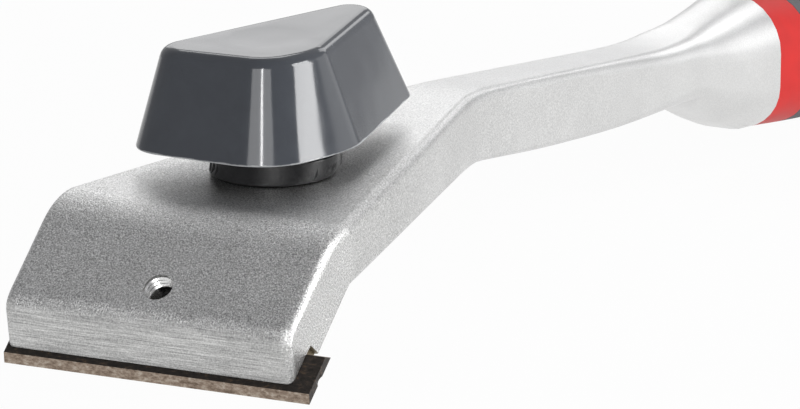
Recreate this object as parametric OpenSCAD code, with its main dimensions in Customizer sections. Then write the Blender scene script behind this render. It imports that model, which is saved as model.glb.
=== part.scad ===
// Draw scraper: a cast head and neck, a clamped two-edged blade, a swivelling palm knob
// and a two-component handle. Millimetres, +Z up, standing on its blade edge and its grip.

/* [Blade] */
// Length of the cutting edge
blade_w = 65; // [60:1:70]
// Depth from one edge to the other
blade_depth = 11; // [9:0.5:12]
// Thickness of the blade
blade_t = 1.75; // [1.4:0.05:2]
// Run of the ground bevel along both edges
blade_bevel = 1.2; // [0.8:0.05:1.4]
// How far the blade sits to the right of the head's middle
blade_shift = 1.9; // [0:0.1:2.2]
// Depth of the shallow nick in the blade's right end
blade_nick = 0.35; // [0.2:0.05:0.6]

/* [Head] */
// Width of the head over the blade
head_w = 60.8; // [56:0.4:62]
// Tilt of the slab that holds the blade, in degrees
slab_angle = 42.5; // [38:0.5:46]
// Height of the slab's top above the blade seat
slab_h = 8.5; // [7.5:0.5:10]
// Distance from the blade edge to the fold, along the slab
slab_l = 32.2; // [30:0.5:36]
// How far the side lips stand below the blade's underside
lip_drop = 2.6; // [2.4:0.1:3.4]
// Setback of the nose behind the blade edge
nose_set = 2.6; // [2:0.1:3.4]
// Lean of the brushed nose face, from its foot to its head
nose_lean = 4.9; // [3.5:0.1:6]
// Rounding between the nose face and the slab
nose_round = 6; // [4:0.5:7]
// Rounding of the nose's two upright corners
nose_corner = 1.4; // [1:0.2:2.4]
// Rounding of the fold between slab and platform
fold_round = 17; // [10:1:20]
// Rounding along the upper edges of the casting
edge_round = 2.2; // [1:0.2:3]
// Rounding along the lower edges of the casting
under_round = 1.2; // [0.6:0.2:2]

/* [Platform and neck] */
// Rise of the platform towards the neck, in degrees
platform_rise = 3.6; // [2:0.2:5]
// Thickness of the casting at the underside bend
bend_t = 12.2; // [11:0.5:14]
// Distance from the fold to where the neck starts
platform_l = 100; // [90:1:110]
// Width of the neck where it starts
neck_w = 14.6; // [13:0.2:17]
// Width of the neck at its slimmest
neck_slim = 12.6; // [11:0.2:14]
// Height of the neck where it starts
neck_h = 14.4; // [13:0.2:17]
// Fall of the neck's top line towards the handle, in degrees
neck_fall = 5.6; // [3:0.1:7]
// How far the neck's lower line sinks before the belly
neck_sink = 5.2; // [3:0.1:6]
// Distance from the start of the neck to the handle
neck_l = 122; // [110:1:130]
// Width of the ferrule where the handle starts
ferrule_w = 22.1; // [20:0.1:26]

/* [Clamp] */
// Width of the clamp plate
plate_w = 50; // [44:1:52]
// Thickness of the clamp plate
plate_t = 2.5; // [2:0.1:3]
// Distance from the blade edge to the clamp screw
screw_d = 14.6; // [14.5:0.1:16]
// Thread diameter of the clamp screw
screw_dia = 5.7; // [5:0.1:5.8]
// Pitch of the clamp screw's thread
screw_pitch = 1; // [0.8:0.1:1.25]
// Height of the clamp screw's head
screw_head_h = 3.2; // [2.6:0.2:4]
// Travel of the clamp plate when it is loosened
clamp_travel = 1.6; // [1:0.1:2]

/* [Knob] */
// Distance of the knob's pivot behind the fold
knob_back = 31.6; // [29:0.2:36]
// Diameter of the black collar's foot
collar_dia = 24.2; // [22:0.2:26]
// How much wider the collar is at its top, in radius
collar_flare = 0.3; // [0.1:0.1:0.8]
// Height of the knob's rim above the platform
knob_lift = 5; // [4:0.1:6]
// Height of the knob
knob_h = 19; // [16:0.5:22]
// Wall of the knob
knob_wall = 2.6; // [2:0.2:3]
// Rounding of the knob's upper rim
knob_rim = 2.6; // [1.6:0.2:3]
// Depth of the dish in the knob's top
dish_depth = 0.2; // [0.1:0.05:0.2]
// Diameter of the pivot bolt
pivot_dia = 8; // [7:0.5:9]

/* [Handle] */
// Length of the handle
grip_l = 113; // [105:1:125]
// Width of the grip at its fullest
grip_w = 26.8; // [24:0.4:30]
// Thickness of the soft sleeve
sleeve_t = 2.8; // [2:0.2:3.4]
// Length of the red band at the front of the handle
band_l = 13; // [8:1:20]
// Length of the butt cap
cap_l = 22; // [20:1:26]
// Diameter of the hanging hole
hang_dia = 8; // [6:0.5:9]
// Distance of the hanging hole from the butt end
hang_back = 10; // [9:0.5:11]
// Diameter of the pins through the tang
pin_dia = 4; // [3:0.5:5]

/* [Hidden] */
$fn = 48;

// Clearances and overruns
over = 1;
seat_gap = 0.1;
clamp_gap = 0.1;
stop_gap = 0.3;
side_gap = 0.4;
slip = 0.05;
thread_gap = 0.05;
washer_gap = 0.1;
mould_gap = 0.05;

// Places on the slab, as [distance along it, height above the blade's underside]
function on_slab(d, n) = [
  d * cos(slab_angle) - n * sin(slab_angle),
  d * sin(slab_angle) + n * cos(slab_angle)
];
seat_n = blade_t + seat_gap;
top_n = seat_n + slab_h;
seat_end = blade_depth + stop_gap;
pocket_end = 24.6;
bend_back = 3.4;
bend_d = slab_l - bend_back;

// Smooth joining of two heights or widths over a short blend
function lesser(a, b, blend) = (a + b - sqrt(pow(a - b, 2) + blend * blend)) / 2;
function greater(a, b, blend) = (a + b + sqrt(pow(a - b, 2) + blend * blend)) / 2;
function ease(t) = t <= 0 ? 0 : t >= 1 ? 1 : t * t * (3 - 2 * t);
function mix(a, b, t) = a + (b - a) * t;

// Side profile of the casting, as heights over the distance y from the blade edge
fold_p = on_slab(slab_l, top_n);
bend_p = on_slab(bend_d, -lip_drop);
neck_y = fold_p[0] + platform_l;
ferrule_y = neck_y + neck_l;
end_y = ferrule_y + grip_l;
rest_back = 17;
rest_y = end_y - rest_back;
handle_drop = 5.3;
handle_crest = 29.2;
handle_flare = 2.6;
profile_blend = 3.6;
edge_blend = 1.4;
crease_blend = 0.4;
belly_start = 24;
belly_rise = 8.7;
belly_power = 1.5;
belly_sag = 0.4;
sag_l = 8.6;
function platform_top(y) = fold_p[1] + (y - fold_p[0]) * tan(platform_rise);
neck_top_z = platform_top(neck_y);
neck_low_z = neck_top_z - neck_h;
function neck_top(y) = neck_top_z - (y - neck_y) * tan(neck_fall);
function handle_low(y) = handle_drop * pow((y - rest_y) / (rest_y - ferrule_y), 2);
function handle_top(y) =
  handle_crest + handle_flare * pow((y - ferrule_y - grip_l / 2) / (grip_l / 2), 2);
flare_rise = 9.4;
flare_l = 40;
function flare_blend(y) = profile_blend * ease((y - neck_y) / flare_l);
function flare_top(y) = handle_top(ferrule_y) + (y - ferrule_y) * tan(flare_rise);
function platform_low(y) =
  mix(bend_p[1], neck_low_z, (y - bend_p[0]) / (neck_y - bend_p[0]));
sink_l = 85;
function neck_low(y) = neck_low_z - neck_sink * (1 - pow(1 - (y - neck_y) / sink_l, 2));
function sag(t) = belly_sag * t * pow((1 - t) * 3 / 2, 2) * 3;
function belly_low(y) =
  handle_low(ferrule_y) + belly_rise * pow((ferrule_y - y) / belly_start, belly_power)
  - sag(min(1, (ferrule_y - y) / sag_l));
function top_z(y) =
  y > ferrule_y ? handle_top(y)
  : greater(lesser(platform_top(y), neck_top(y), edge_blend), flare_top(y), flare_blend(y));
function low_z(y) =
  y > ferrule_y ? handle_low(y)
  : lesser(lesser(platform_low(y), neck_low(y), crease_blend), belly_low(y), crease_blend);

// Half the width of the casting and of the handle, over y
taper_lead = 1.6;
function taper_x(y) =
  mix(head_w / 2 + taper_lead, neck_w / 2, (y - fold_p[0]) / platform_l);
slim_y = neck_y + neck_l / 3;
function neck_x(y) =
  mix(neck_w / 2, neck_slim / 2, min(1, (y - neck_y) / (slim_y - neck_y)));
flare_turn = 9;
function flare_x(y) = ferrule_w / 2 + (y - ferrule_y) * tan(flare_turn);
function grip_x(y) =
  mix(grip_w, ferrule_w, pow((y - ferrule_y - grip_l / 2) / (grip_l / 2), 2)) / 2;
function half_w(y) =
  y > ferrule_y ? grip_x(y)
  : greater(
      greater(lesser(head_w / 2, taper_x(y), edge_blend / 2), neck_x(y), edge_blend),
      flare_x(y), flare_blend(y)
    );
oval_start = 67;
oval_share = 0.96;
low_share = 0.77;
function oval(y) = ease((y - ferrule_y + oval_start) / oval_start);

// One section between an upper and a lower point: a rounded rectangle, as 3D points
corner_n = 7;
function corner(cx, cy, r, turn) =
  [for (i = [0:corner_n]) [
    cx + r * cos(turn + 90 * i / corner_n), cy + r * sin(turn + 90 * i / corner_n)
  ]];
function outline(w, h, rt, rb) = concat(
  corner(w - rt, h / 2 - rt, rt, 0), corner(rt - w, h / 2 - rt, rt, 90),
  corner(rb - w, rb - h / 2, rb, 180), corner(w - rb, rb - h / 2, rb, 270)
);
function section(t, b, w, rt, rb) =
  let (h = norm(t - b), c = (t + b) / 2, u = (t - b) / h)
  [for (p = outline(w, h, rt, rb)) [p[0], c[0] + u[0] * p[1], c[1] + u[1] * p[1]]];
module loft(rings) {
  m = len(rings[0]);
  last = len(rings) - 1;
  polyhedron(
    points = [for (ring = rings, p = ring) p],
    faces = concat(
      [[for (i = [m - 1:-1:0]) i]],
      [for (k = [0:last - 1], i = [0:m - 1])
        let (j = (i + 1) % m)
        each [
          [k * m + i, (k + 1) * m + j, (k + 1) * m + i],
          [k * m + i, k * m + j, (k + 1) * m + j]
        ]],
      [[for (i = [0:m - 1]) last * m + i]]
    )
  );
}

// Sections of the casting: the nose, the fold, and then upright ones along y
nose_pitch = atan2(slab_h, nose_lean);
nose_run = nose_round * tan(nose_pitch / 2);
nose_d = nose_set + nose_lean + nose_run;
nose_foot_d = nose_set - (seat_n + lip_drop) / tan(nose_pitch);
nose_steps = 10;
function corner_cut(back) = back >= nose_corner ? 0
  : nose_corner - sqrt(pow(nose_corner, 2) - pow(nose_corner - back, 2));
fold_turn = slab_angle - platform_rise;
fold_run = fold_round * tan(fold_turn / 2);
fold_steps = 9;
nose_rings = [for (i = [0:nose_steps])
  let (
    a = nose_pitch * (1 - i / nose_steps),
    back = nose_round * (1 - cos(nose_pitch - a)),
    up = on_slab(nose_d - nose_round * sin(a), top_n - nose_round * (1 - cos(a))),
    down = on_slab(nose_foot_d + back / sin(nose_pitch), -lip_drop)
  )
  section(up, down, head_w / 2 - corner_cut(back), edge_round, under_round)];
fold_rings = [for (i = [0:fold_steps])
  let (
    t = i / fold_steps, a = fold_turn * t, d = slab_l - fold_run,
    up = on_slab(d + fold_round * sin(a), top_n - fold_round * (1 - cos(a))),
    down = on_slab(mix(d, bend_d, t), -lip_drop)
  )
  section(up, down, head_w / 2, edge_round, under_round)];
ring_step = 4;
bend_run = 3;
upright_y = bend_p[0] + bend_run;
upright_n = ceil((ferrule_y - upright_y) / ring_step);
function upright(y, inset = 0) =
  let (
    w = half_w(y) - inset, t = top_z(y) - inset, b = low_z(y) + inset,
    full_r = min(w, (t - b) / 2),
    k = oval(y)
  )
  section(
    [y, t], [y, b], w,
    mix(edge_round, oval_share * full_r, k), mix(under_round, low_share * full_r, k)
  );
upright_rings = [for (i = [0:upright_n])
  upright(mix(upright_y, ferrule_y, i / upright_n))];
front_y = on_slab(nose_d, top_n - nose_round)[0] - nose_round;

// Every piece is modelled from the blade edge, then moved to the tool's bottom centre
module on_tool() translate([0, -(front_y + end_y) / 2, 0]) children();
module on_casting() on_tool() translate([-blade_shift, 0, 0]) children();
module across(l) rotate([90, 0, 90]) linear_extrude(l, center = true) children();
module in_slab() rotate([slab_angle, 0, 0]) children();
knob_y = fold_p[0] + knob_back * cos(platform_rise);
module on_platform()
  translate([0, knob_y, platform_top(knob_y)]) rotate([platform_rise, 0, 0]) children();
module tube(r_out, r_in, z, h) difference() {
  translate([0, 0, z]) cylinder(r = r_out, h = h);
  translate([0, 0, z - over]) cylinder(r = r_in, h = h + 2 * over);
}

// Tang of the casting, inside the handle
tang_w = 9;
tang_h = 15;
tang_back = 11;
tang_l = grip_l - cap_l - tang_back;
tang_root = 4;
tang_z = (top_z(ferrule_y) + low_z(ferrule_y)) / 2;
tang_fall = 2;
pin_share = [0.28, 0.8];
module on_tang()
  translate([0, ferrule_y, tang_z]) rotate([-tang_fall, 0, 0]) children();
module tang(grow = 0) on_tang()
  translate([-tang_w / 2 - grow, -tang_root, -tang_h / 2 - grow])
    cube([tang_w + 2 * grow, tang_l + tang_root + grow, tang_h + 2 * grow]);
module pins(r, l) on_tang()
  for (s = pin_share) translate([-l / 2, s * tang_l, 0])
    rotate([0, 90, 0]) cylinder(r = r, h = l);

// Pivot stack under the platform
head_dia = 13;
head_h = 5;
bolt_washer_t = 1.2;
bolt_washer_dia = 16;
pivot_wall = 6.8;
counter_dia = bolt_washer_dia + 2 * stop_gap;
relief_l = 0.9;
relief_w = 1.2;
relief_lean = 14;
mouth = 0.35;
cell_round = 2.5;
cell_wall = 5;
cell_depth = 6;
cell_back = [20, 48];
cell_front = [6.5, 13];

module cast_body() color("silver") on_casting() difference() {
  union() {
    loft(concat(nose_rings, fold_rings, upright_rings));
    tang();
  }
  in_slab() {
    // Blade seat, open to the front and both sides
    translate([-head_w, -head_w, -head_w]) cube([2 * head_w, head_w + seat_end, head_w + seat_n]);
    // Relief of the seat's rear corners, open to the sides
    for (s = [-1, 1])
      translate([s * (head_w - relief_w) - head_w / 2, blade_depth + relief_l, seat_n])
        rotate([relief_lean, 0, 0]) translate([0, -relief_l - over, -head_w])
          cube([head_w, relief_l + over, head_w]);
    // Pocket for the clamp plate
    translate([-plate_w / 2 - side_gap, 0, -head_w])
      cube([plate_w + 2 * side_gap, pocket_end, head_w + seat_n]);
    // Tapped hole of the clamp screw
    translate([0, screw_d, 0]) cylinder(r = screw_dia / 2 + thread_gap, h = top_n + over);
  }
  on_platform() {
    translate([0, 0, -head_w]) cylinder(r = pivot_dia / 2 + slip, h = 2 * head_w);
    translate([0, 0, -head_w]) cylinder(r = counter_dia / 2, h = head_w - pivot_wall);
  }
  // Lightening cells in the underside
  for (s = [-1, 1]) front_cell(s);
  back_cell();
  pins(pin_dia / 2, 2 * tang_w);
}
module cell_post(x, y) translate([x, y, platform_low(y) - cell_depth])
  cylinder(r = cell_round, h = 2 * cell_depth, $fn = 32);
module front_cell(side) hull() {
  for (y = cell_front) for (x = [cell_wall, head_w / 2 - 2 * cell_wall])
    cell_post(side * x, bend_p[0] + y);
}
module back_cell() hull() {
  for (y = cell_back) for (s = [-1, 1])
    cell_post(s * (half_w(knob_y + y) - cell_wall - cell_round), knob_y + y);
}

// Two-edged blade, ground on both long sides
nick_r = 2;
nick_share = 0.6;
module blade() color("dimgray") on_tool() in_slab() difference() {
  across(blade_w) polygon([
    [0, 0], [blade_depth, 0], [blade_depth - blade_bevel, blade_t], [blade_bevel, blade_t]
  ]);
  translate([blade_w / 2 + nick_r - blade_nick, blade_depth / 2, -over])
    cylinder(r = nick_r, h = over + nick_share * blade_t);
}

// Clamp plate under the blade, with its heel rib and rounded lip
plate_back = 0.8;
plate_front = nose_set + plate_back;
plate_end = pocket_end - side_gap;
heel_l = 2.4;
plate_lip = 1;
module clamp_plate() color("gray") on_casting() in_slab() difference() {
  across(plate_w) polygon([
    [plate_front, -clamp_gap], [plate_end - heel_l, -clamp_gap],
    [plate_end - heel_l, seat_n - slip], [plate_end, seat_n - slip],
    [plate_end, -clamp_gap - plate_t], [plate_front + plate_lip, -clamp_gap - plate_t],
    [plate_front, -clamp_gap - plate_lip]
  ]);
  translate([0, screw_d, -head_w]) cylinder(r = screw_dia / 2 + side_gap, h = 2 * head_w);
}

// Clamp screw and its spring washer
washer_t = 1.2;
washer_dia = 10.4;
screw_head_dia = 10;
socket_dia = 5.7;
socket_h = 2;
thread_left = 3.1;
screw_tip_n = seat_n + thread_left + clamp_travel;
washer_n = -clamp_gap - plate_t - slip - washer_t;
washer_slit = 0.7;
module clamp_washer() color("silver") on_casting() in_slab() translate([0, screw_d, 0])
  difference() {
    tube(washer_dia / 2, screw_dia / 2 + side_gap / 2, washer_n, washer_t);
    translate([0, -washer_slit / 2, washer_n - over])
      cube([washer_dia, washer_slit, washer_t + 2 * over]);
  }
module clamp_screw() color("darkgray") on_casting() in_slab() translate([0, screw_d, 0])
  difference() {
    union() {
      translate([0, 0, washer_n - slip - screw_head_h])
        cylinder(r = screw_head_dia / 2, h = screw_head_h);
      translate([0, 0, washer_n - slip - over])
        cylinder(r = screw_dia / 2, h = screw_tip_n - washer_n + slip + over - blade_bevel);
      translate([0, 0, screw_tip_n - blade_bevel])
        cylinder(r1 = screw_dia / 2, r2 = screw_dia / 2 - blade_bevel / 2, h = blade_bevel);
    }
    translate([0, 0, washer_n - slip - screw_head_h - over])
      cylinder(r = socket_dia / 2, h = socket_h + over, $fn = 6);
  }

// Knob: corner posts as [x, y, radius] at the rim and at the top
front_bulge = 0.35;
front_steps = 4;
function front_posts(a, b) = [for (i = [0:front_steps])
  let (t = i / front_steps)
  mix(a, b, t) + [0, 0, 4 * front_bulge * t * (1 - t)]];
rim_far_posts = [[-16.3, -7.3, 8], [2.3, 40.1, 5]];
rim_front_left = [-0.3, -3.2, 12.6];
rim_front_right = [2.6, 6, 12];
top_far_posts = [[-14.9, -4.3, 6], [-0.6, 32.2, 4.9]];
top_front_left = [-1.4, -0.6, 8.8];
top_front_right = [0.8, 4.5, 8.6];
rim_posts = concat(rim_far_posts, front_posts(rim_front_left, rim_front_right));
top_posts = concat(top_far_posts, front_posts(top_front_left, top_front_right));
rim_steps = 6;
post_fn = 64;
knob_top = knob_lift + knob_h;
knob_gap = 0.35;
collar_h = knob_lift - knob_gap;
thrust_t = 0.5;
boss_z = collar_h + thrust_t + washer_gap;
boss_dia = 19;
insert_dia = 12.7;
insert_h = 8;
roof_t = 3.4;
rib_t = 1.8;
rib_turns = [35, 150, 250, 310];
dish_r = 300;
dish_at = [-4.5, 7];
lip_h = 0.3;
disc_h = 0.05;
module knob_solid(inset, roof, round_r, steps) hull() {
  for (p = rim_posts) translate([p[0], p[1], knob_lift])
    cylinder(r = p[2] - inset, h = lip_h, $fn = post_fn);
  for (p = top_posts, i = [0:steps])
    let (a = 90 * (1 - i / max(1, steps)))
    translate([p[0], p[1], knob_top - roof - round_r * (1 - sin(a)) - disc_h])
      cylinder(r = p[2] - inset - round_r * (1 - cos(a)), h = disc_h, $fn = post_fn);
}
module knob_cap() color("dimgray") on_casting() on_platform() difference() {
  knob_solid(0, 0, knob_rim, rim_steps);
  translate([dish_at[0], dish_at[1], knob_top + dish_r - dish_depth])
    sphere(r = dish_r, $fn = 360);
  difference() {
    translate([0, 0, -lip_h]) knob_solid(knob_wall, roof_t - lip_h, 0, 0);
    translate([0, 0, boss_z]) cylinder(r = boss_dia / 2, h = knob_h);
    for (a = rib_turns) rotate([0, 0, a])
      translate([0, -rib_t / 2, knob_lift + rib_t]) cube([head_w, rib_t, knob_h]);
  }
  cylinder(r = insert_dia / 2 + mould_gap, h = boss_z + insert_h, $fn = 6);
}
module knob_insert() color("goldenrod") on_casting() on_platform() difference() {
  translate([0, 0, boss_z + washer_gap])
    cylinder(r = insert_dia / 2, h = insert_h - 2 * washer_gap, $fn = 6);
  cylinder(r = thread_r + slip, h = knob_top);
}
module knob_collar() color("black") on_casting() on_platform() difference() {
  union() {
    translate([0, 0, slip])
      cylinder(r1 = collar_dia / 2 - mouth, r2 = collar_dia / 2, h = mouth);
    translate([0, 0, slip + mouth])
      cylinder(
        r1 = collar_dia / 2, r2 = collar_dia / 2 + collar_flare, h = collar_h - slip - mouth
      );
  }
  translate([0, 0, -over]) cylinder(r = pivot_dia / 2 + washer_gap, h = knob_lift + 2 * over);
}
module thrust_washer() color("white") on_casting() on_platform()
  tube(boss_dia / 2, pivot_dia / 2 + washer_gap, collar_h + slip, thrust_t);

// Pivot bolt with its washer, in the counterbore under the platform
thread_r = 3;
thread_l = 7;
bolt_seat = -pivot_wall - slip - bolt_washer_t - washer_gap;
bolt_socket_dia = 6.9;
bolt_socket_h = 2.6;
module pivot_bolt() color("silver") on_casting() on_platform() difference() {
  union() {
    translate([0, 0, bolt_seat - head_h]) cylinder(r = head_dia / 2, h = head_h);
    translate([0, 0, bolt_seat - over]) cylinder(r = pivot_dia / 2, h = boss_z - bolt_seat + over);
    translate([0, 0, boss_z - over]) cylinder(r = thread_r, h = thread_l + over);
  }
  translate([0, 0, bolt_seat - head_h - over])
    cylinder(r = bolt_socket_dia / 2, h = bolt_socket_h + over, $fn = 6);
}
module bolt_washer() color("silver") on_casting() on_platform()
  tube(
    bolt_washer_dia / 2, pivot_dia / 2 + washer_gap,
    -pivot_wall - slip - bolt_washer_t, bolt_washer_t
  );

// Handle: red core and band, grey soft sleeve, red butt cap
band_end = ferrule_y + band_l;
cap_y = end_y - cap_l;
spigot_l = 6;
grip_step = 6;
end_round = 6;
end_steps = 6;
function rings_between(y0, y1, inset = 0) =
  let (n = ceil((y1 - y0) / grip_step))
  [for (i = [0:n]) upright(mix(y0, y1, i / n), inset)];
band_y = ferrule_y + mould_gap;
band_round = 0.9;
band_steps = 4;
band_rings = [for (i = [0:band_steps - 1])
  let (a = 90 * i / band_steps)
  upright(band_y + band_round * (1 - cos(a)), band_round * (1 - sin(a)))];
module grip_core() color("firebrick") on_casting() difference() {
  union() {
    loft(concat(band_rings, rings_between(band_y + band_round, band_end)));
    loft(rings_between(ferrule_y + over, cap_y + spigot_l, sleeve_t));
  }
  tang(mould_gap);
  pins(pin_dia / 2, 2 * grip_w);
}
module grip_sleeve() color("dimgray") on_casting() difference() {
  loft(rings_between(band_end + mould_gap, cap_y - mould_gap));
  loft(rings_between(band_end - over, cap_y + over, sleeve_t - mould_gap));
}
cap_rings = [for (i = [1:end_steps])
  let (a = 90 * i / end_steps)
  upright(end_y - end_round * (1 - sin(a)), end_round * (1 - cos(a)))];
module butt_cap() color("firebrick") on_casting() difference() {
  loft(concat(rings_between(cap_y, end_y - end_round), cap_rings));
  loft(rings_between(cap_y - over, cap_y + spigot_l + stop_gap, sleeve_t - mould_gap));
  translate([-grip_w, end_y - hang_back, (top_z(end_y - hang_back) + low_z(end_y - hang_back)) / 2])
    rotate([0, 90, 0]) cylinder(r = hang_dia / 2, h = 2 * grip_w);
}
module tang_pins() color("gray") on_casting()
  pins(pin_dia / 2 - slip / 2, ferrule_w - 2 * sleeve_t);

cast_body();
blade();
clamp_plate();
clamp_washer();
clamp_screw();
knob_collar();
thrust_washer();
knob_cap();
knob_insert();
pivot_bolt();
bolt_washer();
grip_core();
grip_sleeve();
butt_cap();
tang_pins();
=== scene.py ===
from math import asin, cos, pi, radians, sin

import bpy
from mathutils import Matrix, Quaternion, Vector


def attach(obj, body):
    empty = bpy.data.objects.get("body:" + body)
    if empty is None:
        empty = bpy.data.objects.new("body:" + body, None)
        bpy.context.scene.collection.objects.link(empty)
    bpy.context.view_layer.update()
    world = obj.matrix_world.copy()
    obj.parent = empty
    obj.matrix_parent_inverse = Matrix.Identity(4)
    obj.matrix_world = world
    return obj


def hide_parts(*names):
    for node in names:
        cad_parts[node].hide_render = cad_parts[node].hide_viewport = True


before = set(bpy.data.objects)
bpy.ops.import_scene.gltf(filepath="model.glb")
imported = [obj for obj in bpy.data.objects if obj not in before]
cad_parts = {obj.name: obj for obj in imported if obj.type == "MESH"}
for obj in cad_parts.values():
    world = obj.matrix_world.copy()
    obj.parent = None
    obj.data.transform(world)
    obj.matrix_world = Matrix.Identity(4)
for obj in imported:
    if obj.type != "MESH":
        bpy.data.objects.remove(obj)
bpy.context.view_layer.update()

# ---- Camera ----
# A long lens about three metres away, a little above the tool and off its right-hand side,
# leaning by one degree, as fitted to the blade, head, platform and neck in the photograph.
mm = 0.001
look_at = Vector((35.84, -147.2, 33.17)) * mm
camera_away = 3000 * mm
turn, rise, lean = radians(27.82), radians(12.52), radians(0.98)
towards_camera = Vector((sin(turn) * cos(rise), -cos(turn) * cos(rise), sin(rise)))
facing = towards_camera.to_track_quat("Z", "Y") @ Quaternion((0, 0, 1), lean)
bpy.ops.object.camera_add(location=look_at + towards_camera * camera_away)
camera = bpy.context.object
camera.rotation_euler = facing.to_euler()
camera.data.sensor_width = 36
camera.data.lens = 724
camera.data.clip_start = 0.5
camera.data.clip_end = 30
bpy.context.scene.camera = camera
bpy.context.scene.view_settings.view_transform = "Standard"


# ---- Studio ----
# A white sweep that keeps a soft shadow. It lies under the tool, just below the lowest point
# that the blade reaches when it is slid out. The room is light grey behind the tool and darker
# in front of it, and the camera alone sees it white.
def finish(name, color, rough, metal=0.0):
    """A new material with its plain values, its node tree and its shader."""
    made = bpy.data.materials.new(name)
    made.use_nodes = True
    shader = made.node_tree.nodes["Principled BSDF"]
    shader.inputs["Base Color"].default_value = (*color, 1)
    shader.inputs["Roughness"].default_value = rough
    shader.inputs["Metallic"].default_value = metal
    return made, made.node_tree, shader


def reckoned(tree, kind, first, second=0.0):
    """One sum, product or test between sockets or plain numbers."""
    node = tree.nodes.new("ShaderNodeMath")
    node.operation = kind
    for slot, value in zip(node.inputs, (first, second)):
        if isinstance(value, (int, float)):
            slot.default_value = value
        else:
            tree.links.new(value, slot)
    return node.outputs[0]


def ramp(tree, value, stops):
    """Turns a value into colours, from [(place, grey or colour)]."""
    band = tree.nodes.new("ShaderNodeValToRGB")
    points = band.color_ramp.elements
    for i, (place, shade) in enumerate(stops):
        point = points[i] if i < 2 else points.new(place)
        point.position = place
        point.color = (shade, shade, shade, 1) if isinstance(shade, (int, float)) else (*shade, 1)
    tree.links.new(value, band.inputs["Fac"])
    return band.outputs["Color"]


def blended(tree, share, first, second, kind="MIX"):
    """Two colours or sockets mixed by a share."""
    first_color, second_color, mixed_color = 6, 7, 2
    mix = tree.nodes.new("ShaderNodeMix")
    mix.data_type = "RGBA"
    mix.blend_type = kind
    slots = (mix.inputs["Factor"], mix.inputs[first_color], mix.inputs[second_color])
    for slot, value in zip(slots, (share, first, second)):
        if isinstance(value, (int, float)):
            slot.default_value = value
        elif isinstance(value, tuple):
            slot.default_value = (*value, 1)
        else:
            tree.links.new(value, slot)
    return mix.outputs[mixed_color]


def along(tree, vector):
    """The X, Y and Z of a place or direction, each by its name."""
    parts = tree.nodes.new("ShaderNodeSeparateXYZ")
    tree.links.new(vector, parts.inputs[0])
    return parts.outputs


def rays_that_see(tree, *kinds):
    """1 for these kinds of ray, and 0 for the rest."""
    rays = tree.nodes.new("ShaderNodeLightPath")
    seen = rays.outputs[kinds[0]]
    for kind in kinds[1:]:
        seen = reckoned(tree, "MAXIMUM", seen, rays.outputs[kind])
    return seen


blade_reach = 8.3 * mm
sweep_width = 12
white_share = 0.96
white = (1.0, 1.0, 1.0)
clear_rays = ("Is Camera Ray", "Is Glossy Ray", "Is Transmission Ray")
bpy.ops.mesh.primitive_plane_add(size=sweep_width, location=(0, 0, -blade_reach))
floor = bpy.context.object
floor.name = "floor"
floor_white, tree, shader = finish("floor_white", (0.86, 0.86, 0.86), 0.9)
glow = tree.nodes.new("ShaderNodeEmission")
glow.inputs["Color"].default_value = (*white, 1)
lit_share = reckoned(tree, "MULTIPLY", rays_that_see(tree, *clear_rays), white_share)
shadow_or_glow = tree.nodes.new("ShaderNodeMixShader")
tree.links.new(lit_share, shadow_or_glow.inputs[0])
tree.links.new(shader.outputs[0], shadow_or_glow.inputs[1])
tree.links.new(glow.outputs[0], shadow_or_glow.inputs[2])
tree.links.new(shadow_or_glow.outputs[0], tree.nodes["Material Output"].inputs["Surface"])
floor.data.materials.append(floor_white)

front_grey, back_grey = (0.4, 0.4, 0.41), (0.57, 0.57, 0.58)
room_level = 0.45
world = bpy.data.worlds.new("room")
bpy.context.scene.world = world
world.use_nodes = True
tree = world.node_tree
room = tree.nodes["Background"]
heading = tree.nodes.new("ShaderNodeTexCoord").outputs["Generated"]
walls = ramp(tree, along(tree, heading)["Y"], [(0.02, front_grey), (0.5, back_grey)])
backdrop = blended(tree, rays_that_see(tree, "Is Camera Ray"), walls, white)
tree.links.new(backdrop, room.inputs["Color"])
level = reckoned(tree, "MAXIMUM", rays_that_see(tree, *clear_rays), room_level)
tree.links.new(level, room.inputs["Strength"])


# ---- Lamps ----
# A large soft lamp on the right, four behind the tool with one of them high, and one in front
# with a slim strip before it. Each has its place, what it faces, its width, height and watts.
def soft_lamp(name, place, aim, width, height, watts):
    """A rectangular lamp that stands in one place and faces another."""
    bpy.ops.object.light_add(type="AREA", location=place)
    lamp = bpy.context.object
    lamp.name = name
    lamp.data.shape = "RECTANGLE"
    lamp.data.size, lamp.data.size_y = width, height
    lamp.data.energy = watts
    lamp.rotation_euler = (Vector(place) - Vector(aim)).to_track_quat("Z", "Y").to_euler()


soft_lamp("right_softbox", (1.26, 0.21, 0.36), (0, -0.12, 0.03), 0.52, 1.0, 15)
soft_lamp("back_left_softbox", (-0.8, 1.2, 0.6), (0, -0.13, 0.04), 0.8, 0.5, 1.5)
soft_lamp("back_right_softbox", (0.9, 1.0, 0.4), (0, -0.1, 0.03), 0.8, 0.6, 1.3)
soft_lamp("high_back_softbox", (-0.5, 0.75, 1.15), (0, -0.1, 0.03), 0.5, 0.4, 1.8)
soft_lamp("back_middle_softbox", (0.15, 1.2, 0.85), (0, -0.1, 0.03), 0.5, 0.5, 1.6)
soft_lamp("front_softbox", (0.46, -1.25, 0.42), (0, -0.13, 0.04), 1.0, 0.6, 5)
soft_lamp("front_tube", (0.48, -1.2, 0.42), (0, -0.13, 0.04), 0.06, 0.6, 2.2)

# ---- Casting ----
# One die casting in aluminium alloy, blasted to a fine sparkling grain that fades to a less
# grainy skin along the neck, where the colour is also painted lighter and plainer: partly painted
# light.
# Its nose is ground bright beside the blade, the hole for the clamp screw is tapped through the
# slab, and the pocket behind the blade is painted dark brown, for grime and painted shade.
weld_distance = 0.002 * mm
flat_within = radians(0.6)
bevel_steps = 2


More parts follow.
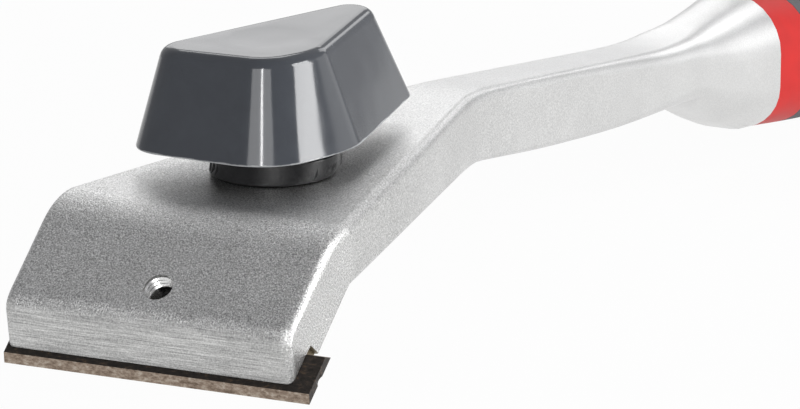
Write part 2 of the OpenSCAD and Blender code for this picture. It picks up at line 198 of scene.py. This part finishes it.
def only(piece):
    """Selects this piece and nothing else."""
    bpy.ops.object.select_all(action="DESELECT")
    piece.select_set(True)
    bpy.context.view_layer.objects.active = piece


def shade_evenly(piece, smooth):
    """Smooth shading over the soft edges, while flat faces stay flat."""
    bpy.ops.mesh.customdata_custom_splitnormals_clear()
    bpy.ops.object.shade_smooth_by_angle(angle=radians(smooth))
    weigh = piece.modifiers.new("flat_faces_stay_flat", "WEIGHTED_NORMAL")
    weigh.keep_sharp = True
    bpy.ops.object.modifier_apply(modifier=weigh.name)


def closed_copy(node, name, smooth, edge):
    """The shape of a solid as one closed mesh, with its sharp edges broken by a small bevel."""
    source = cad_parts[node]
    piece = bpy.data.objects.new(name, source.data.copy())
    bpy.context.collection.objects.link(piece)
    piece.data.materials.clear()
    only(piece)
    bpy.ops.mesh.customdata_custom_splitnormals_clear()
    bpy.ops.object.mode_set(mode="EDIT")
    bpy.ops.mesh.select_all(action="SELECT")
    bpy.ops.mesh.remove_doubles(threshold=weld_distance)
    bpy.ops.mesh.dissolve_limited(angle_limit=flat_within)
    bpy.ops.object.mode_set(mode="OBJECT")
    bevel = piece.modifiers.new("broken_edges", "BEVEL")
    bevel.limit_method = "ANGLE"
    bevel.angle_limit = radians(smooth)
    bevel.width = edge
    bevel.segments = bevel_steps
    bpy.ops.object.modifier_apply(modifier=bevel.name)
    shade_evenly(piece, smooth)
    return piece


def placed(tree, scale=(1, 1, 1), turned=(0, 0, 0), moved=(0, 0, 0)):
    """Object coordinates, turned, moved and stretched."""
    where = tree.nodes.new("ShaderNodeTexCoord")
    mapping = tree.nodes.new("ShaderNodeMapping")
    mapping.inputs["Location"].default_value = moved
    mapping.inputs["Rotation"].default_value = turned
    mapping.inputs["Scale"].default_value = scale
    tree.links.new(where.outputs["Object"], mapping.inputs["Vector"])
    return mapping.outputs["Vector"]


def cloudy(tree, vector, size, detail=2.0, rough=0.5):
    """A noise whose blobs are about that many metres across."""
    noise = tree.nodes.new("ShaderNodeTexNoise")
    noise.inputs["Scale"].default_value = 1 / size
    noise.inputs["Detail"].default_value = detail
    noise.inputs["Roughness"].default_value = rough
    tree.links.new(vector, noise.inputs["Vector"])
    return noise.outputs["Fac"]


def bumped(tree, shader, heights):
    """Bumps from [(socket, depth in metres, strength)], one after the other."""
    last = None
    for height, depth, strength in heights:
        bump = tree.nodes.new("ShaderNodeBump")
        bump.inputs["Distance"].default_value = depth
        bump.inputs["Strength"].default_value = strength
        tree.links.new(height, bump.inputs["Height"])
        if last:
            tree.links.new(last, bump.inputs["Normal"])
        last = bump.outputs["Normal"]
    tree.links.new(last, shader.inputs["Normal"])


slab_lean = radians(42.5)
blade_edge_y = -175.447 * mm
head_middle = -1.9 * mm
in_slab = dict(turned=(-slab_lean, 0, 0),
               moved=(0, -blade_edge_y * cos(slab_lean), blade_edge_y * sin(slab_lean)))
casting = closed_copy("cast_body", "casting", smooth=26, edge=0.2 * mm)
cast_alloy, tree, shader = finish("cast_alloy", (0.6, 0.6, 0.59), 0.3, metal=1.0)
everywhere = placed(tree)
grains = cloudy(tree, everywhere, 0.3 * mm, rough=0.7)
flecks = cloudy(tree, everywhere, 0.55 * mm, detail=3, rough=0.7)
clouds = cloudy(tree, everywhere, 12 * mm)
blasted = ramp(tree, grains, [(0.34, (0.27, 0.27, 0.267)),
                              (0.5, (0.56, 0.56, 0.555)),
                              (0.66, (0.93, 0.93, 0.92))])
sparkle = ramp(tree, flecks, [(0.6, 0.0), (0.7, 0.8)])
blasted = blended(tree, sparkle, blasted, (0.95, 0.95, 0.94))

# Partly painted light: along the neck the colour turns plainer and lighter because the neck is
# brightly lit, and partly a less grainy skin, which also eases the grain bumps.
fade_each_metre, fade_at_middle = 4.5, 0.55
down_the_neck = reckoned(tree, "MULTIPLY", along(tree, everywhere)["Y"], fade_each_metre)
smooth_skin_and_painted_light = ramp(tree, reckoned(tree, "ADD", down_the_neck, fade_at_middle),
                [(0.0, 0.0), (0.12, 0.35), (0.35, 0.6), (0.7, 0.85)])
skin = blended(tree, smooth_skin_and_painted_light, blasted, (0.73, 0.73, 0.725))
skin = blended(tree, 1.0, skin, ramp(tree, clouds, [(0.3, 0.93), (0.7, 1.0)]), "MULTIPLY")

nose_set_back, slab_height = 4.9 * mm, 8.5 * mm
ground_fade, ground_wander = 2 * mm, 0.9
grain_left = 0.35
in_head = along(tree, placed(tree, **in_slab))
behind_nose = reckoned(tree, "SUBTRACT", in_head["Y"],
                       reckoned(tree, "MULTIPLY", in_head["Z"], nose_set_back / slab_height))
uneven = cloudy(tree, placed(tree, scale=(0.3, 1, 1)), 1.2 * mm, detail=3)
ground = ramp(tree, reckoned(tree, "SUBTRACT",
                             reckoned(tree, "MULTIPLY", behind_nose, 1 / ground_fade),
                             reckoned(tree, "MULTIPLY", uneven, ground_wander)),
              [(0.5, 1.0), (0.95, 0.0)])
strokes = cloudy(tree, placed(tree, scale=(0.025, 1, 1)), 0.22 * mm, detail=3, rough=0.65)
bright = ramp(tree, strokes, [(0.34, (0.2, 0.2, 0.2)),
                              (0.5, (0.42, 0.42, 0.415)),
                              (0.66, (0.7, 0.7, 0.69))])
skin = blended(tree, ground, skin, blended(tree, grain_left, bright, blasted))

seat_height, pocket_end = 1.9 * mm, 24.8 * mm
blade_depth = 11 * mm
head_half = 30.3 * mm
off_middle = reckoned(tree, "ABSOLUTE", reckoned(tree, "SUBTRACT", in_head["X"], head_middle))
# Painted shade with grime: the recessed pocket behind the blade, below the seat, is painted dark
# brown.
grime_and_painted_shade = reckoned(tree, "LESS_THAN", in_head["Z"], seat_height)
for within in (reckoned(tree, "LESS_THAN", in_head["Y"], pocket_end),
               reckoned(tree, "GREATER_THAN", in_head["Y"], blade_depth),
               reckoned(tree, "LESS_THAN", off_middle, head_half)):
    grime_and_painted_shade = reckoned(tree, "MULTIPLY", grime_and_painted_shade, within)
tree.links.new(blended(tree, grime_and_painted_shade, skin, (0.16, 0.13, 0.08)), shader.inputs["Base Color"])
tree.links.new(ramp(tree, ground, [(0, 0.34), (1, 0.32)]), shader.inputs["Roughness"])
grain_depth = reckoned(tree, "MULTIPLY", grains, reckoned(tree, "SUBTRACT", 1.0, smooth_skin_and_painted_light))
bumped(tree, shader, [(grain_depth, 0.16 * mm, 0.8),
                      (flecks, 0.1 * mm, 0.25),
                      (strokes, 0.03 * mm, 0.3)])
casting.data.materials.append(cast_alloy)
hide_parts("cast_body")
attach(casting, "frame")

# ---- Thread in the slab ----
# The tapped thread of the clamp screw's hole. The screw stops short of the top, so its last
# turns lie open: bare bright metal, cut after the casting was blasted.
thread_pitch = 1.0 * mm
thread_out, thread_in = 2.93 * mm, 2.42 * mm
thread_from, thread_to = 6.9 * mm, 10.25 * mm
thread_turns, steps_a_turn = 4, 40
thread_start = thread_to - 4.35 * thread_pitch
ridge_radius = (thread_out - thread_in) * 0.98
ridge_away = thread_out + 0.12 * mm
screw_from_edge = 14.6 * mm
bpy.ops.mesh.primitive_circle_add(vertices=4, radius=ridge_radius, location=(0, 0, 0),
                                  rotation=(pi / 2, 0, 0))
open_thread = bpy.context.object
open_thread.name = "open_thread"
bpy.ops.object.mode_set(mode="EDIT")
bpy.ops.mesh.select_all(action="SELECT")
bpy.ops.transform.translate(value=(ridge_away, 0, 0))
bpy.ops.object.mode_set(mode="OBJECT")
bpy.ops.object.transform_apply(location=True, rotation=True, scale=True)
winding = open_thread.modifiers.new("winding", "SCREW")
winding.screw_offset = thread_pitch
winding.iterations = thread_turns
winding.steps = winding.render_steps = steps_a_turn
bpy.ops.object.modifier_apply(modifier=winding.name)
bpy.ops.object.mode_set(mode="EDIT")
bpy.ops.mesh.select_all(action="SELECT")
bpy.ops.mesh.remove_doubles(threshold=0.001 * mm)
bpy.ops.transform.translate(value=(0, 0, thread_start))
for cut_height, outward in ((thread_to, 1), (thread_from, -1)):
    bpy.ops.mesh.bisect(plane_co=(0, 0, cut_height), plane_no=(0, 0, outward),
                        use_fill=True, clear_outer=True)
    bpy.ops.mesh.select_all(action="SELECT")
bpy.ops.mesh.normals_make_consistent(inside=False)
bpy.ops.object.mode_set(mode="OBJECT")
open_thread.data.transform(Matrix.Translation((head_middle, blade_edge_y, 0))
                           @ Matrix.Rotation(slab_lean, 4, "X")
                           @ Matrix.Translation((0, screw_from_edge, 0)))
bpy.ops.object.shade_smooth_by_angle(angle=radians(40))


def mottled(tree, shader, socket, pattern, low, high):
    """Lets a socket of the shader wander between two values, as a pattern does."""
    tree.links.new(ramp(tree, pattern, [(0.3, low), (0.7, high)]), shader.inputs[socket])


cut_metal, tree, shader = finish("cut_metal", (0.75, 0.75, 0.74), 0.22, metal=1.0)
turning_marks = cloudy(tree, placed(tree), 0.15 * mm)
mottled(tree, shader, "Base Color", turning_marks, (0.55, 0.55, 0.55), (0.86, 0.86, 0.85))
bumped(tree, shader, [(turning_marks, 0.03 * mm, 0.4)])
open_thread.data.materials.append(cut_metal)
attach(open_thread, "frame")

# ---- Blade ----
# Hardened steel, blackened on its faces, with both long edges ground to a bevel after the
# hardening, so the bevels are bare and mottled brown. It is only clamped, and slides out.
blade_thickness, bevel_width = 1.75 * mm, 1.2 * mm
bare_beyond = 5.47 * mm
blade = closed_copy("blade", "blade_steel", smooth=20, edge=0.05 * mm)
hard_steel, tree, shader = finish("hard_steel", (0.05, 0.045, 0.04), 0.42, metal=0.75)
scale_spots = cloudy(tree, placed(tree, scale=(0.5, 1, 1)), 0.7 * mm, detail=5, rough=0.7)
fine_spots = cloudy(tree, placed(tree), 0.35 * mm, rough=0.6)
black_face = ramp(tree, scale_spots, [(0.3, (0.018, 0.016, 0.015)),
                                      (0.55, (0.045, 0.038, 0.033)),
                                      (0.72, (0.13, 0.085, 0.055))])
ground_face = ramp(tree, scale_spots, [(0.32, (0.12, 0.085, 0.06)),
                                       (0.5, (0.29, 0.225, 0.175)),
                                       (0.68, (0.5, 0.44, 0.37))])
in_seat = along(tree, placed(tree, **in_slab))
from_middle = reckoned(tree, "ABSOLUTE",
                       reckoned(tree, "SUBTRACT", in_seat["Y"], blade_depth / 2))
up_the_bevel = reckoned(tree, "MULTIPLY", in_seat["Z"], bevel_width / blade_thickness)
bare = reckoned(tree, "GREATER_THAN", reckoned(tree, "ADD", from_middle, up_the_bevel),
                bare_beyond)
tree.links.new(blended(tree, bare, black_face, ground_face), shader.inputs["Base Color"])
bumped(tree, shader, [(fine_spots, 0.05 * mm, 0.4), (scale_spots, 0.08 * mm, 0.3)])
blade.data.materials.append(hard_steel)
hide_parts("blade")
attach(blade, "scraping_blade")

# ---- Clamp ----
# The pressed clamp plate under the blade with its heel, a split spring washer, and the socket
# screw that draws them up from below. All are steel, zinc plated.
zinc, tree, shader = finish("zinc_plate", (0.55, 0.55, 0.57), 0.34, metal=0.9)
bloom = cloudy(tree, placed(tree), 3 * mm, detail=3, rough=0.6)
roll_marks = cloudy(tree, placed(tree, scale=(0.1, 1, 1)), 0.3 * mm)
mottled(tree, shader, "Base Color", bloom, (0.4, 0.41, 0.43), (0.64, 0.64, 0.65))
mottled(tree, shader, "Roughness", bloom, 0.28, 0.42)
bumped(tree, shader, [(roll_marks, 0.03 * mm, 0.3)])


def zinc_plated(node, name, body, edge):
    """One of the plated steel pieces, in the shape of its solid."""
    steel_part = closed_copy(node, name, smooth=30, edge=edge)
    steel_part.data.materials.append(zinc)
    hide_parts(node)
    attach(steel_part, body)


zinc_plated("clamp_plate", "clamp_bar", "clamp", 0.3 * mm)
zinc_plated("clamp_washer", "split_washer", "clamp", 0.08 * mm)
zinc_plated("clamp_screw", "clamp_bolt", "screw", 0.25 * mm)

# ---- Knob axle ----
# A plated socket bolt and its washer, put in from below. The bolt turns with the knob: it is
# screwed into a brass insert that is moulded into the knob's boss.
zinc_plated("pivot_bolt", "knob_axle", "knob", 0.35 * mm)
zinc_plated("bolt_washer", "axle_washer", "knob", 0.15 * mm)
brass, tree, shader = finish("turned_brass", (0.7, 0.52, 0.24), 0.3, metal=1.0)
cut_rings = cloudy(tree, placed(tree, scale=(0.2, 0.2, 1)), 0.2 * mm)
mottled(tree, shader, "Base Color", cut_rings, (0.58, 0.42, 0.17), (0.78, 0.6, 0.3))
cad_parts["knob_insert"].data.materials[0] = brass

# ---- Knob ----
# A hollow moulding in dark grey plastic, polished: a rounded triangle with drafted sides, soft
# rims and a dished top. A thin pale line along its lower rim is a painted highlight, where the
# rounding reflects the bright platform.
platform_point = Vector((-1.9, -127.161, 31.369)) * mm
platform_up = Vector((0, -0.0627905, 0.9980267))
platform_lean = asin(platform_up.y)
rim_level = 44.29 * mm
rim_unevenness = 0.8
knob = closed_copy("knob_cap", "palm_knob", smooth=40, edge=0.22 * mm)
slate, tree, shader = finish("slate_plastic", (0.05, 0.055, 0.065), 0.2)
shader.inputs["IOR"].default_value = 1.5
shader.inputs["Specular IOR Level"].default_value = 0.64
ripple = cloudy(tree, placed(tree), 14 * mm, detail=1)
dust = cloudy(tree, placed(tree), 0.35 * mm, detail=1)
sheen = cloudy(tree, placed(tree), 5 * mm, detail=4, rough=0.6)
up_the_knob = along(tree, placed(tree, turned=(platform_lean, 0, 0)))["Z"]
above_rim = reckoned(tree, "SUBTRACT", up_the_knob, rim_level)
# Painted highlight: a thin pale line along the lower rim, where its rounding reflects the
# platform.
painted_rim_highlight = ramp(tree, reckoned(tree, "ADD", reckoned(tree, "MULTIPLY", above_rim, 1 / mm),
                             reckoned(tree, "MULTIPLY", sheen, rim_unevenness)),
              [(0.55, 0.75), (0.75, 0.0)])
skin = ramp(tree, sheen, [(0.3, (0.046, 0.051, 0.061)), (0.7, (0.052, 0.058, 0.069))])
tree.links.new(blended(tree, painted_rim_highlight, skin, (0.45, 0.46, 0.47)), shader.inputs["Base Color"])
mottled(tree, shader, "Roughness", sheen, 0.09, 0.13)
bumped(tree, shader, [(ripple, 0.35 * mm, 0.3), (dust, 0.01 * mm, 0.3)])
knob.data.materials.append(slate)
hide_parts("knob_cap")
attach(knob, "knob")

# ---- Collar ----
# A glossy black moulded ring that is fixed to the platform and carries the knob over a nylon
# thrust washer. Its side leans to the right, a little more at each of three heights.
lean_heights = (1 * mm, 2.5 * mm, 4 * mm)
lean_step = 0.3 * mm
collar_smooth = 40
collar = closed_copy("knob_collar", "collar_ring", smooth=collar_smooth, edge=0.12 * mm)
for height in lean_heights:
    for corner in collar.data.vertices:
        corner.select = (corner.co - platform_point).dot(platform_up) > height
    bpy.ops.object.mode_set(mode="EDIT")
    bpy.ops.mesh.select_mode(type="VERT")
    bpy.ops.transform.translate(value=(lean_step, 0, 0))
    bpy.ops.object.mode_set(mode="OBJECT")
shade_evenly(collar, collar_smooth)
gloss_black, tree, shader = finish("gloss_black", (0.008, 0.008, 0.009), 0.12)
wipes = cloudy(tree, placed(tree), 2 * mm, detail=3)
mottled(tree, shader, "Base Color", wipes, (0.006, 0.006, 0.007), (0.012, 0.012, 0.013))
mottled(tree, shader, "Roughness", wipes, 0.1, 0.17)
collar.data.materials.append(gloss_black)
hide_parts("knob_collar")
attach(collar, "frame")

nylon, tree, shader = finish("nylon", (0.75, 0.74, 0.7), 0.45)
milky = cloudy(tree, placed(tree), 1.5 * mm)
mottled(tree, shader, "Base Color", milky, (0.68, 0.67, 0.62), (0.8, 0.79, 0.75))
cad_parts["thrust_washer"].data.materials[0] = nylon

# ---- Handle core and cap ----
# A hard red core moulded round the casting's tang, which shows as a band against the flare, and
# a red cap, holed for hanging, on its end. Two plated cross pins lock the tang in the core.
red_plastic, tree, shader = finish("red_plastic", (0.58, 0.018, 0.016), 0.45)
shader.inputs["Specular IOR Level"].default_value = 0.2
flow = cloudy(tree, placed(tree), 6 * mm, detail=3)
pores = cloudy(tree, placed(tree), 0.3 * mm)
mottled(tree, shader, "Base Color", flow, (0.54, 0.018, 0.016), (0.62, 0.024, 0.021))
mottled(tree, shader, "Roughness", flow, 0.42, 0.5)
bumped(tree, shader, [(pores, 0.02 * mm, 0.3)])
for node, name in (("grip_core", "red_core"), ("butt_cap", "end_cap")):
    red_part = closed_copy(node, name, smooth=34, edge=0.3 * mm)
    red_part.data.materials.append(red_plastic)
    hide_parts(node)
    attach(red_part, "frame")
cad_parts["tang_pins"].data.materials[0] = zinc

# ---- Handle sleeve ----
# A soft grey sleeve, moulded over the red core between the band and the cap. Its skin is matt
# and pebbled, and a little uneven in tone from wear.
sleeve = closed_copy("grip_sleeve", "soft_sleeve", smooth=34, edge=0.3 * mm)
soft_grey, tree, shader = finish("soft_grey", (0.1, 0.1, 0.11), 0.75)
pebbles = cloudy(tree, placed(tree), 0.7 * mm)
wear = cloudy(tree, placed(tree), 15 * mm, detail=3)
mottled(tree, shader, "Base Color", wear, (0.085, 0.086, 0.094), (0.12, 0.121, 0.13))
bumped(tree, shader, [(pebbles, 0.15 * mm, 0.6)])
sleeve.data.materials.append(soft_grey)
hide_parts("grip_sleeve")
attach(sleeve, "frame")
